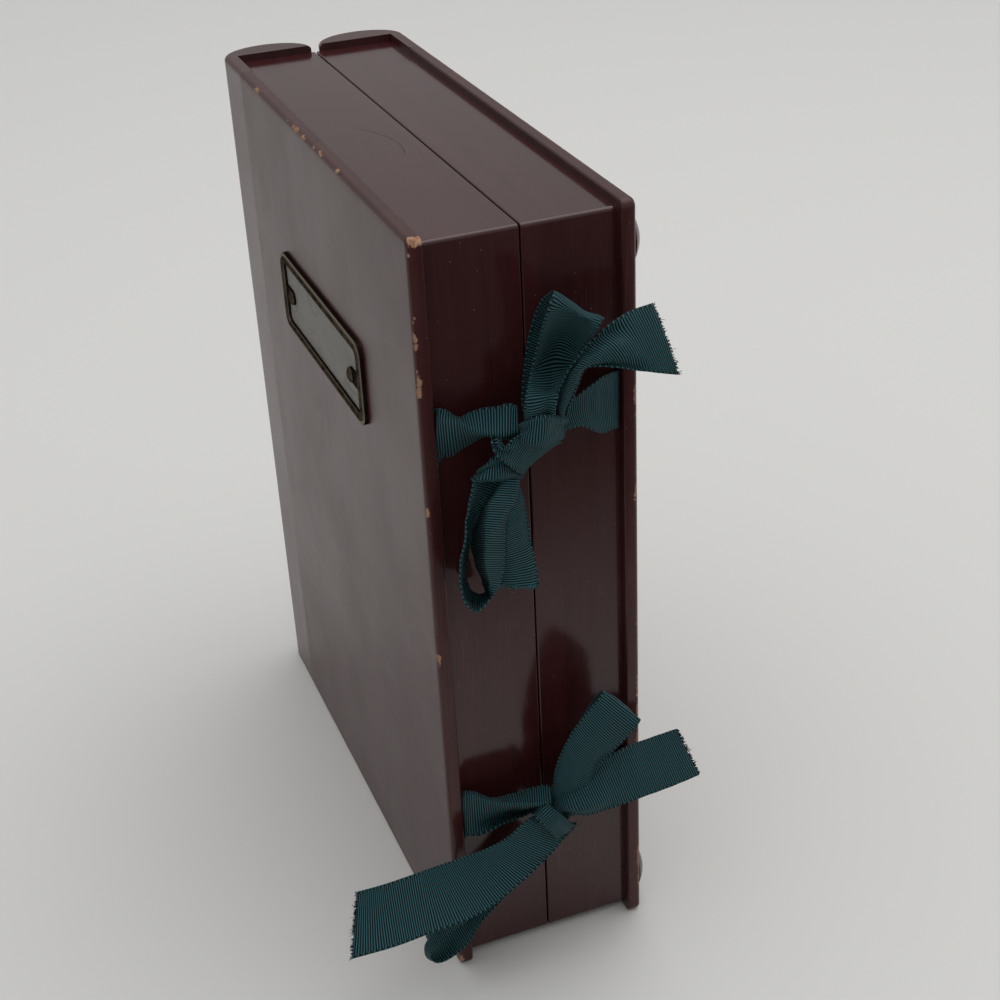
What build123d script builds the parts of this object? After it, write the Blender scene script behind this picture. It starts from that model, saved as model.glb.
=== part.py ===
from build123d import *
import os

os.makedirs("parts", exist_ok=True)

# Driving dimensions, in millimetres. The box stands on the lower edges of its covers.
height = 305.0          # over the covers
depth = 235.0           # cover front edge to where the spine's round begins
half = 39.3             # mid-plane to the outer face of a cover
board = 5.4             # cover board
round_depth = 13.5      # how far the spine's round goes back
nose_gap = 1.8          # mid-plane to the nose of a half spine
tongue = 25.0           # the spine moulding carries the cover on this far
overhang = 3.0          # cover past the tray, above and below
set_back = 4.0          # cover past the tray at the fore-edge
wall = 6.0              # tray walls
rim_gap = 0.25          # tray rim to the mid-plane
edge_round = 1.8        # outer edges of the covers
corner_round = 3.0      # front corners of the covers
lining = 1.0            # lining board
ribbon_width = 22.0
ribbon_thick = 0.6
slot_tall = 23.0
slot_wide = 1.5
slot_in = 72.0          # slot centres from the lower and upper ends
lower_slot = slot_in
upper_slot = height - slot_in
foot_radius = 10.5
foot_height = 5.3
foot_in = 12.5          # foot centre from the cover's front edge
foot_up = 16.5          # foot centre from the cover's upper and lower edges
holder_long = 106.0
holder_tall = 33.6
holder_front = 61.5     # holder's front edge from the cover's front edge
holder_base = 210.6     # its lower edge above the floor
holder_thick = 2.4
pivot_back = 10.0       # hinge pin behind the spine's inner face
barrel = 2.5
leaf_thick = 1.0
hinge_tall = 50.0
hinge_heights = (30.0, height - 30.0 - hinge_tall)

# The frame's origin is the middle of the base cover's lower edge.
origin_x = half - board / 2
origin_y = depth / 2

seam = depth - tongue
inner = half - board                 # inner face of a cover
tray_low, tray_high = overhang, height - overhang
tray_front, tray_back = set_back, depth
pivot = depth + pivot_back


def block(x0, x1, y0, y1, z0, z1):
    return Pos((x0 + x1) / 2, (y0 + y1) / 2, (z0 + z1) / 2) * Box(x1 - x0, y1 - y0, z1 - z0)


def mirrored(shape):
    return mirror(shape, about=Plane.YZ)


def rod_x(radius, x0, x1, y, z):
    return Pos((x0 + x1) / 2, y, z) * Rot(0, 90, 0) * Cylinder(radius, abs(x1 - x0))


# Cover board: square at the seam, rounded at its two front corners and outer edges.
def cover():
    b = block(inner, half, 0, seam, 0, height)
    ends = b.edges().filter_by(Axis.X).filter_by(lambda e: e.center().Y < 1)
    b = fillet(ends, corner_round)
    outer = b.edges().filter_by(lambda e: abs(e.center().X - half) < 0.01 and e.center().Y < seam - 1)
    b = fillet(outer, edge_round)
    front = b.edges().filter_by(lambda e: abs(e.center().X - inner) < 0.01 and e.center().Y < corner_round)
    return fillet(front, 0.8)


# Half spine: half an ellipse in plan, with a tongue that carries the cover on.
def spine():
    radius_x = (half - nose_gap) / 2
    middle = nose_gap + radius_x
    with BuildSketch() as plan:
        with Locations((middle, depth)):
            Ellipse(radius_x, round_depth)
        with Locations((middle, depth - round_depth)):
            Rectangle(half * 2, round_depth * 2, mode=Mode.SUBTRACT)
        with Locations(((inner + half) / 2, (seam + depth) / 2)):
            Rectangle(board, tongue)
    s = extrude(plan.sketch, height)
    rims = s.edges().filter_by(lambda e: (e.center().Z < 0.01 or e.center().Z > height - 0.01)
                               and (e.center().Y > depth + 1 or abs(e.center().X - half) < 0.01))
    return fillet(rims, edge_round)


# Tray: one rounded frame, cut into four walls along its mitres.
def tray_walls():
    whole = block(rim_gap, inner, tray_front, tray_back, tray_low, tray_high)
    whole = fillet(whole.edges().filter_by(Axis.X).filter_by(lambda e: e.center().Y < tray_front + 1), 1.5)
    rim = whole.edges().filter_by(lambda e: abs(e.center().X - rim_gap) < 0.01)
    whole = fillet(rim, 0.5)
    whole -= block(rim_gap - 1, inner + 1, tray_front + wall, tray_back - wall, tray_low + wall, tray_high - wall)
    out = 2 * wall
    a, b = tray_front - out, tray_back + out
    c, d = tray_low - out, tray_high + out
    e, f = tray_front + wall, tray_back - wall
    g, h = tray_low + wall, tray_high - wall
    rings = {
        "front": [(a, c), (e, g), (e, h), (a, d)],
        "back": [(b, c), (b, d), (f, h), (f, g)],
        "top": [(a, d), (e, h), (f, h), (b, d)],
        "bottom": [(a, c), (b, c), (f, g), (e, g)],
    }
    walls = {}
    for side, points in rings.items():
        wedge = extrude(Plane.YZ.offset(-1) * make_face(Polyline(*points, close=True)), half + 2)
        walls[side] = whole & wedge
    return walls


# Ribbon slots run along the cover, through the front wall.
def slot_cuts(shape):
    for z in (lower_slot, upper_slot):
        shape -= block(inner - slot_wide, inner, tray_front - 1, tray_front + wall + 1,
                       z - slot_tall / 2, z + slot_tall / 2)
    return shape


screw_y = depth - wall / 2 + 0.4
screw_head = 1.5
screw_shank = 0.7
screw_long = 7.0
leaf_front = depth - 4.4


def screw_heights():
    return [low + k * hinge_tall for low in hinge_heights for k in (0.14, 0.5, 0.86)]


# The back wall is let in for the hinge leaves and drilled for their screws.
def hinge_cuts(shape):
    for low in hinge_heights:
        shape -= block(rim_gap - 1, 0.2 + leaf_thick, leaf_front - 0.1, depth + 1, low - 0.1, low + hinge_tall + 0.1)
    for z in screw_heights():
        shape -= rod_x(screw_shank + 0.03, 0.2, 0.2 + leaf_thick + screw_long + 0.3, screw_y, z)
    return shape


# Butt hinges: two outer knuckles on the base leaf, one between them on the lid leaf.
def leaves(base):
    whole = Part()
    joint = 0.2
    a, b = hinge_tall * 0.33, hinge_tall * 0.67
    for low in hinge_heights:
        plate = block(0.2, 0.2 + leaf_thick, leaf_front, pivot, low, low + hinge_tall)
        other = barrel + 0.35
        if base:
            plate -= block(-1, 3, pivot - other, pivot + 1, low + a - joint, low + b + joint)
            own = [(low, low + a - joint), (low + b + joint, low + hinge_tall)]
            bore = 1.02
        else:
            plate -= block(-1, 3, pivot - other, pivot + 1, low - 1, low + a + joint)
            plate -= block(-1, 3, pivot - other, pivot + 1, low + b - joint, low + hinge_tall + 1)
            own = [(low + a + joint, low + b - joint)]
            bore = 1.06
        for z in [z for z in screw_heights() if low < z < low + hinge_tall]:
            plate -= Pos(0.2 + leaf_thick / 2, screw_y, z) * Rot(0, 90, 0) * Cone(screw_head + 0.03, screw_shank + 0.03, leaf_thick)
        for z0, z1 in own:
            plate += Pos(0, pivot, (z0 + z1) / 2) * Cylinder(barrel, z1 - z0)
        for z0, z1 in own:
            plate -= Pos(0, pivot, (z0 + z1) / 2) * Cylinder(bore, z1 - z0 + 0.2)
        whole += plate
    return whole if base else mirrored(whole)


def pins():
    whole = []
    for low in hinge_heights:
        p = Pos(0, pivot, low + hinge_tall / 2) * Cylinder(1.0, hinge_tall + 1.2)
        p = fillet(p.edges(), 0.3)
        whole.append(p)
    return Compound(children=whole)


def screws(base):
    whole = []
    for z in screw_heights():
        s = Pos(0.2 + leaf_thick / 2, screw_y, z) * Rot(0, 90, 0) * Cone(screw_head, screw_shank, leaf_thick)
        s += rod_x(screw_shank, 0.2 + leaf_thick, 0.2 + leaf_thick + screw_long, screw_y, z)
        s -= block(0, 0.5, screw_y - 2, screw_y + 2, z - 0.2, z + 0.2)
        whole.append(s if base else mirrored(s))
    return Compound(children=whole)


# Domed button feet, each with a peg in a blind hole.
foot_spots = [(y, z) for y in (foot_in, seam - foot_in - 1.5) for z in (foot_up, height - foot_up)]
peg_radius, peg_long = 2.0, 3.6


def dome(radius, rim, high):
    cap = high - rim
    ball = (radius ** 2 + cap ** 2) / (2 * cap)
    top = Pos(0, 0, high - ball) * Sphere(ball)
    top &= Pos(0, 0, rim + cap) * Box(4 * radius, 4 * radius, 2 * cap)
    return top + Pos(0, 0, rim / 2) * Cylinder(radius, rim)


def foot():
    return dome(foot_radius, 1.0, foot_height) + Pos(0, 0, -peg_long / 2) * Cylinder(peg_radius, peg_long)


def feet():
    return Compound(children=[Pos(half, y, z) * Rot(0, 90, 0) * foot() for y, z in foot_spots])


def peg_holes(shape):
    for y, z in foot_spots:
        shape -= rod_x(peg_radius + 0.03, half - peg_long - 0.4, half + 1, y, z)
    return shape


# Label holder: a bevelled frame with a lug at each end, a card behind it and two pins.
holder_y = holder_front + holder_long / 2
holder_z = holder_base + holder_tall / 2
pin_spots = [(holder_front + 14.8, holder_z - 0.6), (holder_front + holder_long - 11.7, holder_z - 0.6)]
rail = 3.8
card_thick = 0.4
lug_radius = 3.0


def plate(long, tall, corner, thick, x0):
    with BuildSketch(Plane.YZ) as s:
        with Locations((holder_y, holder_z)):
            RectangleRounded(long, tall, corner)
    return Pos(-x0, 0, 0) * extrude(s.sketch, -thick)


def label_frame():
    f = plate(holder_long, holder_tall, 6.0, holder_thick, half)
    f = chamfer(f.faces().sort_by(Axis.X)[0].outer_wire().edges(), 0.7)
    window = plate(holder_long - 2 * rail, holder_tall - 2 * rail, 2.5, holder_thick + 2, half - 1)
    for y, z in pin_spots:
        end = holder_front if y < holder_y else holder_front + holder_long
        lug = block(-half - holder_thick - 3, -half + 3, min(y, end), max(y, end), z - lug_radius, z + lug_radius)
        window -= lug + rod_x(lug_radius, -half - holder_thick - 3, -half + 3, y, z)
    f -= window
    for y, z in pin_spots:
        a, b = (holder_front + rail, y + 5) if y < holder_y else (y - 5, holder_front + holder_long - rail)
        f -= block(-half - holder_thick - 1, -half - 1.2, a, b, z - 5, z + 5)
        f -= rod_x(1.03, -half - holder_thick - 1, -half + 1, y, z)
    f -= block(-half - card_thick - 0.05, -half + 1, holder_y - holder_long / 2 + 2, holder_y + holder_long / 2 - 2,
               holder_z - holder_tall / 2 + 2, holder_z + holder_tall / 2 - 2)
    return f


def label_card():
    c = block(-half - card_thick, -half, holder_y - holder_long / 2 + 2.3, holder_y + holder_long / 2 - 2.3,
              holder_z - holder_tall / 2 + 2.3, holder_z + holder_tall / 2 - 2.3)
    for y, z in pin_spots:
        c -= rod_x(1.1, -half - 1, -half + 1, y, z)
    return c


def label_pins():
    whole = []
    for y, z in pin_spots:
        p = dome(3.0, 0.4, 1.5) + Pos(0, 0, -2.5) * Cylinder(1.0, 5)
        whole.append(Pos(-half - 1.2, y, z) * Rot(0, -90, 0) * p)
    return Compound(children=whole)


def pin_holes(shape):
    for y, z in pin_spots:
        shape -= rod_x(1.03, -half - 1, -half + 4.2, y, z)
    return shape


def tray_lining(side):
    s = block(inner - lining, inner, tray_front + wall + 1.5, tray_back - wall - 1.5,
              tray_low + wall + 1.5, tray_high - wall - 1.5)
    return s if side > 0 else mirrored(s)


# Slats of the lid tray: one along it, one across its front part.
slat = 3.0
slat_y = 64.0
slat_x0, slat_x1 = -(inner - lining), -3.0


def long_divider():
    return block(slat_x0, slat_x1, slat_y, slat_y + slat, tray_low + wall, tray_high - wall)


def short_divider():
    z = height / 2
    return block(slat_x0, slat_x1, tray_front + wall, slat_y, z - slat / 2, z + slat / 2)


# Ribbons. A band is a closed skin of flat triangles round two rails of points.
def smooth(rows, steps):
    rows = [[Vector(*a), Vector(*b)] for a, b in rows]
    out = []
    for i in range(len(rows) - 1):
        p0, p1, p2, p3 = rows[max(i - 1, 0)], rows[i], rows[i + 1], rows[min(i + 2, len(rows) - 1)]
        for k in range(steps):
            t = k / steps
            pair = []
            for j in range(2):
                a, b, c, d = p0[j], p1[j], p2[j], p3[j]
                span = (c - b).length
                go, come = (c - a).normalized() * span, (d - b).normalized() * span
                pair.append(b * (1 - 3 * t * t + 2 * t ** 3) + c * (3 * t * t - 2 * t ** 3)
                            + go * (t - 2 * t * t + t ** 3) + come * (t ** 3 - t * t))
            out.append(pair)
    return out + [rows[-1]]


def skin(corners):
    faces = []

    def tri(p, q, r):
        if (q - p).cross(r - p).length > 1e-6:
            faces.append(Face(Wire.make_polygon([p, q, r])))

    # front and back are split along the same diagonal, so that a twisted band keeps its thickness
    for c, d in zip(corners, corners[1:]):
        for j in range(4):
            k = (j + 1) % 4
            if j == 2:
                tri(c[j], c[k], d[j])
                tri(c[k], d[k], d[j])
            else:
                tri(c[j], c[k], d[k])
                tri(c[j], d[k], d[j])
    for c in (corners[0], corners[-1]):
        tri(c[0], c[1], c[2])
        tri(c[0], c[2], c[3])
    s = Solid(Shell(faces))
    return s if s.volume > 0 else Solid(s.wrapped.Reversed())


# A loop comes back on itself, so its band is cut across at a station into two skins.
def band(rows, thick=ribbon_thick, steps=2, cut=None, front=3.5):
    rows = smooth(rows, steps)
    corners = []
    for i, (a, b) in enumerate(rows):
        before, after = rows[max(i - 1, 0)], rows[min(i + 1, len(rows) - 1)]
        along = (after[0] + after[1]) - (before[0] + before[1])
        n = (b - a).cross(along).normalized() * (thick / 2)
        corners.append([Vector(p.X, min(p.Y, front), p.Z) for p in (a + n, b + n, b - n, a - n)])
    if cut is None:
        return [skin(corners)]
    return [skin(corners[:cut * steps + 1]), skin(corners[cut * steps:])]


# The part of a ribbon inside the slot and the flap glued to the wall behind it.
def slot_part(side, z):
    x = inner - slot_wide / 2
    t = ribbon_thick / 2
    back = tray_front + wall
    low, high = z - ribbon_width / 2, z + ribbon_width / 2
    s = block(x - t, x + t, 2.2, back + ribbon_thick, low, high)
    s += block(x - 11, x + t, back, back + ribbon_thick, low, high)
    return s if side > 0 else mirrored(s)


def slot_rows(side, z):
    x = side * (inner - slot_wide / 2)
    r = ribbon_width / 2
    return [((x, 3.2, z + r), (x, 3.2, z - r)), ((x, 2.0, z + r), (x, 2.0, z - r))]


def move(rows, dz):
    return [(a[:2] + (a[2] + dz,), b[:2] + (b[2] + dz,)) for a, b in rows]


up = upper_slot - 233.0
low = lower_slot - 72.0

UPPER_BASE_STRETCH = [
    ((29.4, -0.5, 245.6), (29.4, -0.5, 224.0)), ((25.3, -3.0, 246.1), (24.9, -3.0, 224.7)),
    ((20.7, -5.0, 245.4), (20.6, -6.0, 227.5)), ((14.0, -6.0, 242.6), (14.0, -8.0, 232.0)),
    ((6.0, -7.0, 241.0), (6.0, -10.0, 233.0))]
UPPER_BASE_LOOP = [
    ((-7.0, -9.0, 235.0), (6.0, -9.0, 232.0)),
    ((-6.7, -9.0, 240.4), (8.6, -9.0, 237.7)), ((-5.0, -10.0, 248.9), (10.1, -11.0, 247.1)),
    ((-2.6, -11.0, 257.8), (11.6, -14.0, 257.8)), ((1.2, -11.0, 267.6), (14.7, -16.0, 265.1)),
    ((2.5, -12.0, 277.5), (17.9, -16.0, 268.6)), ((4.5, -11.0, 283.2), (19.8, -15.0, 271.7)),
    ((4.4, -7.0, 281.7), (20.0, -10.0, 269.7)), ((2.8, -4.0, 277.8), (18.5, -6.0, 265.5)),
    ((1.1, -1.5, 269.1), (15.8, -3.5, 257.9)), ((-1.7, -1.0, 257.0), (11.7, -2.5, 249.2)),
    ((-4.0, -2.0, 245.1), (7.7, -3.0, 241.1)), ((-4.0, -7.0, 236.0), (5.0, -7.0, 233.0))]
UPPER_BASE_TAIL = [
    ((0.5, -11.0, 240.0), (4.5, -14.0, 238.0)),
    ((3.5, -13.0, 246.5), (7.4, -17.0, 243.8)), ((5.4, -15.0, 254.9), (8.9, -19.0, 251.6)),
    ((8.9, -17.0, 262.1), (9.8, -22.0, 259.1)), ((13.9, -17.0, 266.0), (15.0, -23.0, 260.5)),
    ((25.4, -16.0, 270.9), (27.5, -24.0, 257.2)), ((39.5, -11.0, 272.8), (42.2, -24.0, 251.8))]
UPPER_BASE_KNOT = [
    ((-8.8, -11.5, 242.0), (7.4, -11.5, 240.3)), ((-12.9, -11.5, 238.5), (6.0, -11.5, 234.0)),
    ((-13.6, -11.5, 232.5), (2.0, -11.5, 228.5)), ((-13.4, -10.5, 225.5), (-2.5, -10.5, 223.0))]
UPPER_LID_STRETCH = [
    ((-31.4, 2.0, 244.4), (-32.3, 1.8, 224.3)), ((-29.6, -0.5, 244.0), (-30.3, -0.5, 226.4)),
    ((-25.7, -1.0, 241.5), (-26.4, -4.0, 230.2)), ((-19.0, -3.0, 243.4), (-21.7, -9.0, 235.3)),
    ((-15.2, -5.0, 243.4), (-17.1, -12.0, 238.7))]
UPPER_LID_TURN = [
    ((-15.2, -7.5, 242.5), (-19.5, -10.5, 239.5)), ((-15.2, -9.0, 233.0), (-20.5, -11.0, 233.0)),
    ((-15.2, -9.5, 226.0), (-21.5, -9.5, 226.0)), ((-13.0, -9.0, 218.5), (-24.0, -9.0, 220.0)),
    ((-12.0, -8.0, 214.0), (-24.5, -9.0, 213.0))]
UPPER_LID_LOOP = [
    ((-21.5, -15.6, 215.5), (-25.9, -6.4, 212.1)), ((-23.8, -17.3, 209.7), (-26.1, -4.7, 204.3)),
    ((-24.6, -17.4, 201.0), (-24.9, -2.7, 193.0)), ((-25.0, -18.8, 191.4), (-23.4, -1.1, 182.5)),
    ((-25.1, -17.1, 182.4), (-22.0, 0.8, 172.6)), ((-29.6, -16.5, 175.7), (-23.8, 1.6, 169.8)),
    ((-33.2, -15.2, 179.6), (-25.7, 1.8, 172.8)), ((-33.5, -13.3, 188.6), (-25.5, 1.8, 181.3)),
    ((-31.0, -11.1, 198.1), (-24.3, 1.8, 189.7)), ((-28.3, -9.3, 207.3), (-22.6, 0.8, 200.3)),
    ((-23.9, -7.0, 214.7), (-18.9, -1.0, 210.3)), ((-20.0, -9.0, 219.5), (-15.0, -6.0, 216.0))]
UPPER_LID_TAIL = [
    ((-19.0, -8.0, 218.5), (-12.5, -8.0, 219.5)),
    ((-13.8, -3.4, 214.5), (-8.9, -8.6, 217.5)), ((-17.1, -1.6, 206.7), (-8.9, -10.4, 210.7)),
    ((-20.3, -5.0, 199.5), (-4.8, -6.8, 195.6)), ((-21.2, -6.6, 188.4), (-3.0, -7.4, 183.6)),
    ((-20.4, -7.6, 176.6), (-1.5, -8.4, 173.9))]
LOWER_BASE_STRETCH = [
    ((30.4, 0.2, 84.5), (30.8, 0.2, 61.8)), ((26.5, -2.0, 85.6), (27.1, -2.0, 63.4)),
    ((17.2, -4.0, 81.5), (17.7, -4.0, 64.8)), ((8.3, -5.0, 76.6), (8.8, -5.0, 64.2)),
    ((0.0, -8.0, 74.5), (0.5, -8.0, 66.0))]
LOWER_BASE_LOOP = [
    ((-3.0, -9.0, 74.0), (4.0, -9.0, 68.0)),
    ((-1.0, -9.0, 82.8), (6.5, -9.0, 72.5)), ((0.1, -10.0, 92.6), (12.7, -12.0, 80.3)),
    ((4.8, -11.0, 104.8), (16.1, -14.0, 91.1)), ((11.9, -12.0, 116.1), (24.0, -15.0, 100.0)),
    ((19.3, -11.0, 123.0), (32.7, -14.0, 107.6)), ((19.4, -7.0, 120.3), (33.0, -9.0, 104.5)),
    ((17.5, -3.0, 113.7), (31.1, -5.0, 97.7)), ((11.3, -1.5, 101.6), (24.0, -3.0, 85.8)),
    ((5.6, -1.5, 88.4), (16.6, -3.0, 73.2)), ((2.6, -3.0, 78.0), (10.2, -4.0, 68.4)),
    ((-2.0, -8.0, 73.0), (4.0, -8.0, 66.0))]
LOWER_BASE_TAIL = [
    ((-4.0, -11.5, 76.0), (-1.0, -13.0, 71.0)),
    ((-1.4, -12.0, 81.0), (1.6, -15.0, 75.6)), ((3.5, -13.0, 87.6), (7.0, -20.0, 75.9)),
    ((12.9, -14.0, 93.6), (16.8, -21.0, 76.6)), ((24.8, -14.0, 97.2), (29.4, -20.5, 77.1)),
    ((37.7, -12.0, 96.7), (42.7, -19.0, 76.7)), ((49.1, -11.0, 96.5), (56.0, -17.0, 76.5))]
LOWER_BASE_KNOT = [
    ((-8.0, -10.0, 80.7), (-1.4, -10.0, 79.6)), ((-7.8, -10.5, 76.1), (3.3, -10.5, 73.2)),
    ((-8.6, -10.5, 69.0), (6.6, -10.5, 65.0)), ((-3.2, -9.0, 60.0), (6.6, -9.0, 59.2))]
LOWER_LID_STRETCH = [
    ((-31.2, 1.5, 84.0), (-31.4, 1.5, 62.4)), ((-28.0, -1.0, 84.2), (-28.2, -1.0, 64.4)),
    ((-22.0, -4.0, 82.5), (-22.3, -4.0, 68.6)), ((-15.1, -6.0, 84.4), (-15.6, -6.0, 72.6)),
    ((-10.8, -8.0, 85.4), (-11.0, -8.0, 75.6))]
LOWER_LID_TURN = [
    ((-10.8, -8.0, 84.0), (-15.0, -7.5, 78.0)), ((-10.8, -8.5, 74.0), (-16.5, -8.0, 70.0)),
    ((-10.8, -8.0, 64.0), (-17.0, -8.0, 60.0)), ((-8.0, -8.0, 55.5), (-15.0, -8.0, 52.5))]
LOWER_LID_TAIL = [
    ((-14.9, -8.5, 66.3), (-8.2, -11.0, 52.4)),
    ((-21.5, -10.0, 66.7), (-11.6, -14.0, 51.4)), ((-32.0, -11.0, 65.4), (-21.5, -17.0, 48.7)),
    ((-41.9, -11.0, 65.7), (-32.0, -21.0, 47.6)), ((-51.5, -10.0, 65.0), (-42.8, -24.0, 46.9)),
    ((-63.3, -10.0, 64.0), (-57.3, -25.0, 47.0)), ((-74.2, -10.0, 63.3), (-72.0, -26.0, 46.9)),
    ((-80.4, -12.0, 64.9), (-88.1, -25.0, 46.5))]
LOWER_LID_LOOP = [
    ((-12.2, -6.0, 60.6), (-3.6, -6.0, 49.5)), ((-20.1, -3.0, 54.6), (-11.1, -5.0, 42.9)),
    ((-30.4, -1.5, 43.1), (-23.6, -6.0, 32.6)), ((-42.7, -1.4, 26.9), (-37.7, -9.0, 21.6)),
    ((-51.9, -2.0, 24.1), (-51.9, -14.0, 20.3)), ((-53.7, -4.0, 25.6), (-55.5, -17.0, 25.5)),
    ((-49.9, -6.0, 31.5), (-50.0, -18.0, 29.3)), ((-35.4, -7.0, 49.6), (-33.9, -15.0, 43.2)),
    ((-21.1, -8.0, 59.0), (-17.7, -12.0, 51.1)), ((-13.6, -8.0, 63.1), (-7.3, -10.0, 54.5))]

knot_thick = 6.0


def ribbon(side, z, shift, stretch, turn, turn_thick, others, away):
    s = slot_part(side, z)
    loop, tail = others
    for piece in (band(slot_rows(side, z) + move(stretch, shift)) + band(move(turn, shift), turn_thick)
                  + band(move(loop, shift), cut=len(loop) // 2) + band(move(tail, shift))):
        s = s.fuse(piece)
    for b in away:
        s -= b
    solids = s.solids()
    return max(solids, key=lambda q: q.volume)


# Each bow is parted at its knot: the base's share ends at split_x and split_z, and the lid's keeps this clear of it.
share_gap = 0.45
upper_split_x, upper_split_z = -14.0, upper_slot - 11.3
lower_split_x, lower_split_z = -9.2, lower_slot - 14.1


def ribbons():
    far = 400.0
    bands = {
        "upper_base_ribbon": ribbon(1, upper_slot, up, UPPER_BASE_STRETCH, UPPER_BASE_KNOT, knot_thick,
                                    [UPPER_BASE_LOOP, UPPER_BASE_TAIL],
                                    [block(-far, upper_split_x, -far, 3.5, upper_slot - 33, upper_slot + 67),
                                     block(-far, upper_split_x + 26, -far, 3.5, lower_slot, upper_split_z)]),
        "upper_lid_ribbon": ribbon(-1, upper_slot, up, UPPER_LID_STRETCH, UPPER_LID_TURN, 3.0,
                                   [UPPER_LID_LOOP, UPPER_LID_TAIL],
                                   [block(upper_split_x - share_gap, far, -far, 3.5,
                                          upper_split_z - share_gap, upper_slot + 67)]),
        "lower_base_ribbon": ribbon(1, lower_slot, low, LOWER_BASE_STRETCH, LOWER_BASE_KNOT, knot_thick,
                                    [LOWER_BASE_LOOP, LOWER_BASE_TAIL],
                                    [block(-far, lower_split_x, -far, 3.5, 0, lower_slot + 78),
                                     block(-far, lower_split_x + 17.2, -far, 3.5, 0, lower_split_z)]),
        "lower_lid_ribbon": ribbon(-1, lower_slot, low, LOWER_LID_STRETCH, LOWER_LID_TURN, 3.0,
                                   [LOWER_LID_LOOP, LOWER_LID_TAIL],
                                   [block(lower_split_x - share_gap, far, -far, 3.5,
                                          lower_split_z - share_gap, lower_slot + 78)]),
    }
    return bands


base_walls = tray_walls()
base_walls["front"] = slot_cuts(base_walls["front"])
base_walls["back"] = hinge_cuts(base_walls["back"])
board_blank = cover()
spine_blank = spine()

parts = {
    "base_cover": peg_holes(board_blank),
    "base_spine": spine_blank,
    "base_lining": tray_lining(1),
    "lid_cover": pin_holes(mirrored(board_blank)),
    "lid_spine": mirrored(spine_blank),
    "lid_lining": tray_lining(-1),
    "lid_long_divider": long_divider(),
    "lid_short_divider": short_divider(),
    "label_frame": label_frame(),
    "label_card": label_card(),
    "label_pins": label_pins(),
    "feet": feet(),
    "hinge_base_leaves": leaves(True),
    "hinge_lid_leaves": leaves(False),
    "hinge_pins": pins(),
    "hinge_base_screws": screws(True),
    "hinge_lid_screws": screws(False),
}
for side, shape in base_walls.items():
    parts["base_" + side + "_wall"] = shape
    parts["lid_" + side + "_wall"] = mirrored(shape)
parts.update(ribbons())

for name, shape in parts.items():
    export_step(Pos(-origin_x, -origin_y, 0) * shape, "parts/" + name + ".step")
    print(name, len(shape.solids()), round(sum(s.volume for s in shape.solids()), 1))
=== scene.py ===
import math
import random

import bmesh
import bpy
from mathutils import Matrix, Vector


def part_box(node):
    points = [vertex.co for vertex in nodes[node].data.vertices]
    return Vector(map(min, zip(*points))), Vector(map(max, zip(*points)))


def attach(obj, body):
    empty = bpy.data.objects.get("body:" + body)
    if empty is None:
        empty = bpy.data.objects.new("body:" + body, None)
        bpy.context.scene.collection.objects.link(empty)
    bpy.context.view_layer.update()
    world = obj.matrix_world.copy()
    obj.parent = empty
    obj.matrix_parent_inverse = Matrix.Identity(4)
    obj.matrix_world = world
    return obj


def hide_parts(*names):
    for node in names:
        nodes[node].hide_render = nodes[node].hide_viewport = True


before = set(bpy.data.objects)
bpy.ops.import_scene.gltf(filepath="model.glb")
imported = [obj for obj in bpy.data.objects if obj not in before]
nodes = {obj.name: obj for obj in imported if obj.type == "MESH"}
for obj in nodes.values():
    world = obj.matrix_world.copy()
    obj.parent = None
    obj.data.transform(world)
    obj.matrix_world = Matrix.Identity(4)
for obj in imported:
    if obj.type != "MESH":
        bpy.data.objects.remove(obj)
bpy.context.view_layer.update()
scene = bpy.context.scene

# Camera
# The photograph's own viewpoint, solved from the box's corners: above the fore-edge and a little to the
# lid's side.
lens = bpy.data.cameras.new("camera")
lens.lens, lens.sensor_width, lens.clip_start = 62.1, 36.0, 0.01
camera = bpy.data.objects.new("camera", lens)
scene.collection.objects.link(camera)
camera.location = (-0.2247, -0.5965, 0.4985)
camera.rotation_euler = (1.049984, 0.044544, -0.376294)
scene.camera = camera


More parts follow.
